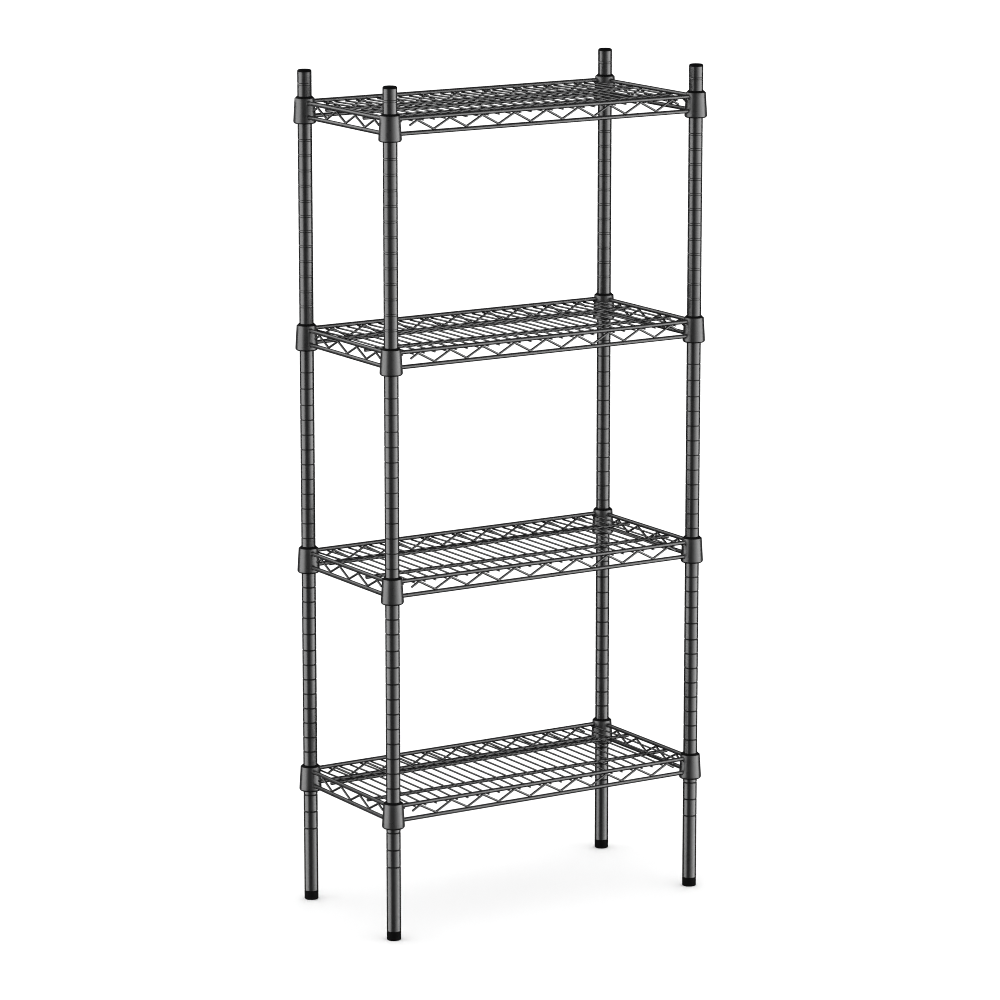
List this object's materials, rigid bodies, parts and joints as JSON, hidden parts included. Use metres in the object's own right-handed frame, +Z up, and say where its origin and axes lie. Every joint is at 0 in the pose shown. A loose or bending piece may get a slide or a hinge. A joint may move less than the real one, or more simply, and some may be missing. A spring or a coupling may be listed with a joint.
{
  "type": "wire shelving rack",
  "caption": "Free-standing open wire shelving rack: welded wire shelves wedged on split sleeves along grooved tube posts with levelling feet.",
  "frame": {"origin": "on the floor under the middle of the rack", "axes": "+X along the long side, +Y from front to back, +Z up"},
  "size_m": [0.6082, 0.3032, 1.3716],
  "materials": {
    "post_tube": "semi-gloss black epoxy over steel",
    "collar": "semi-gloss black epoxy over cast steel",
    "shelf_wire": "semi-gloss black epoxy over steel wire",
    "black_plastic": "moulded black plastic",
    "zinc_steel": "zinc plated"
  },
  "bodies": {
    "root": {"post_front_left": "post_tube", "post_cap_front_left": "black_plastic", "foot_insert_front_left": "zinc_steel", "post_front_right": "post_tube", "post_cap_front_right": "black_plastic", "foot_insert_front_right": "zinc_steel", "post_back_left": "post_tube", "post_cap_back_left": "black_plastic", "foot_insert_back_left": "zinc_steel", "post_back_right": "post_tube", "post_cap_back_right": "black_plastic", "foot_insert_back_right": "zinc_steel", "sleeve_1_front_left": "black_plastic", "sleeve_1_front_right": "black_plastic", "sleeve_1_back_left": "black_plastic", "sleeve_1_back_right": "black_plastic", "sleeve_2_front_left": "black_plastic", "sleeve_2_front_right": "black_plastic", "sleeve_2_back_left": "black_plastic", "sleeve_2_back_right": "black_plastic", "sleeve_3_front_left": "black_plastic", "sleeve_3_front_right": "black_plastic", "sleeve_3_back_left": "black_plastic", "sleeve_3_back_right": "black_plastic", "sleeve_4_front_left": "black_plastic", "sleeve_4_front_right": "black_plastic", "sleeve_4_back_left": "black_plastic", "sleeve_4_back_right": "black_plastic"},
    "foot_front_left": {"foot_pad_front_left": "black_plastic", "foot_stem_front_left": "zinc_steel"},
    "foot_front_right": {"foot_pad_front_right": "black_plastic", "foot_stem_front_right": "zinc_steel"},
    "foot_back_left": {"foot_pad_back_left": "black_plastic", "foot_stem_back_left": "zinc_steel"},
    "foot_back_right": {"foot_pad_back_right": "black_plastic", "foot_stem_back_right": "zinc_steel"},
    "shelf_1": {"shelf_1_collars": "collar", "shelf_1_long_rails": "shelf_wire", "shelf_1_short_rails": "shelf_wire", "shelf_1_zigzag_wires": "shelf_wire", "shelf_1_supports": "shelf_wire", "shelf_1_deck_wires": "shelf_wire"},
    "shelf_2": {"shelf_2_collars": "collar", "shelf_2_long_rails": "shelf_wire", "shelf_2_short_rails": "shelf_wire", "shelf_2_zigzag_wires": "shelf_wire", "shelf_2_supports": "shelf_wire", "shelf_2_deck_wires": "shelf_wire"},
    "shelf_3": {"shelf_3_collars": "collar", "shelf_3_long_rails": "shelf_wire", "shelf_3_short_rails": "shelf_wire", "shelf_3_zigzag_wires": "shelf_wire", "shelf_3_supports": "shelf_wire", "shelf_3_deck_wires": "shelf_wire"},
    "shelf_4": {"shelf_4_collars": "collar", "shelf_4_long_rails": "shelf_wire", "shelf_4_short_rails": "shelf_wire", "shelf_4_zigzag_wires": "shelf_wire", "shelf_4_supports": "shelf_wire", "shelf_4_deck_wires": "shelf_wire"}
  },
  "joints": [
    {"name": "foot_front_left_screw", "type": "slide", "parent": "root", "child": "foot_front_left", "axis": [0, 0, -1], "range_m": [0, 0.02]},
    {"name": "foot_front_right_screw", "type": "slide", "parent": "root", "child": "foot_front_right", "axis": [0, 0, -1], "range_m": [0, 0.02]},
    {"name": "foot_back_left_screw", "type": "slide", "parent": "root", "child": "foot_back_left", "axis": [0, 0, -1], "range_m": [0, 0.02]},
    {"name": "foot_back_right_screw", "type": "slide", "parent": "root", "child": "foot_back_right", "axis": [0, 0, -1], "range_m": [0, 0.02]},
    {"name": "shelf_1_lift", "type": "slide", "parent": "root", "child": "shelf_1", "axis": [0, 0, 1], "range_m": [0, 0.315]},
    {"name": "shelf_2_lift", "type": "slide", "parent": "root", "child": "shelf_2", "axis": [0, 0, 1], "range_m": [0, 0.315]},
    {"name": "shelf_3_lift", "type": "slide", "parent": "root", "child": "shelf_3", "axis": [0, 0, 1], "range_m": [0, 0.315]},
    {"name": "shelf_4_lift", "type": "slide", "parent": "root", "child": "shelf_4", "axis": [0, 0, 1], "range_m": [0, 0.075]}
  ]
}
